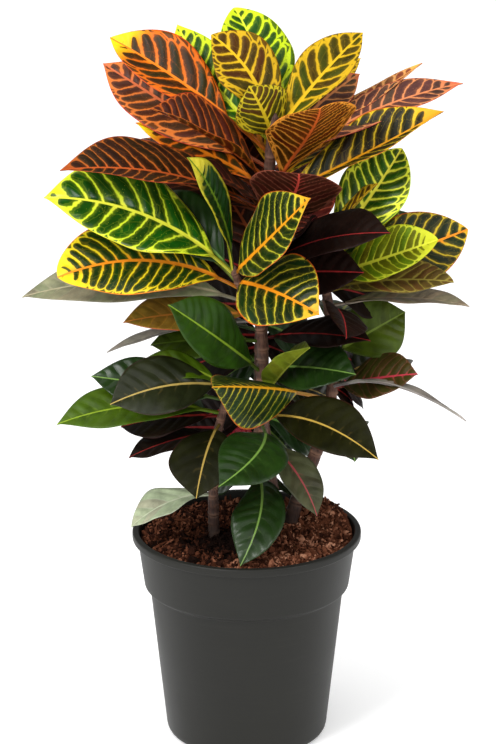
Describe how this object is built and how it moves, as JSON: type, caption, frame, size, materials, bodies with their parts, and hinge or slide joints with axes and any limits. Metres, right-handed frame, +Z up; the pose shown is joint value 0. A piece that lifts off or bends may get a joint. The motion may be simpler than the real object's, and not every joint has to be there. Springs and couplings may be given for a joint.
{
  "type": "potted croton",
  "caption": "Bushy variegated house plant with broad veined leaves on woody stems, standing in soil in a round tapered nursery pot.",
  "frame": {"origin": "centre of the pot's flat base, on the surface that it stands on", "axes": "+Z up along the pot's axis; -Y towards the side that shows the plant's front; +X to the right seen from the front"},
  "size_m": [0.394, 0.3025, 0.664],
  "materials": {
    "pot_plastic": "dark grey moulded plastic, matt with a soft sheen",
    "soil": "moist reddish brown peat and bark crumbs, quite matt",
    "tall_foliage": "waxy leaves in orange, maroon, gold and dark green on a pinkish brown woody stem",
    "front_foliage": "waxy leaves in dark green with bright yellow veins on a pinkish brown woody stem",
    "right_foliage": "waxy leaves in green, olive and dark red with yellow or red veins on a pinkish brown woody stem",
    "low_foliage": "waxy dark green leaves with thin pale midribs on a pinkish brown woody stem"
  },
  "bodies": {
    "root": {"pot": "pot_plastic", "soil": "soil", "tall_stem": "tall_foliage", "front_stem": "front_foliage", "right_stem": "right_foliage", "low_stem": "low_foliage"}
  },
  "joints": []
}
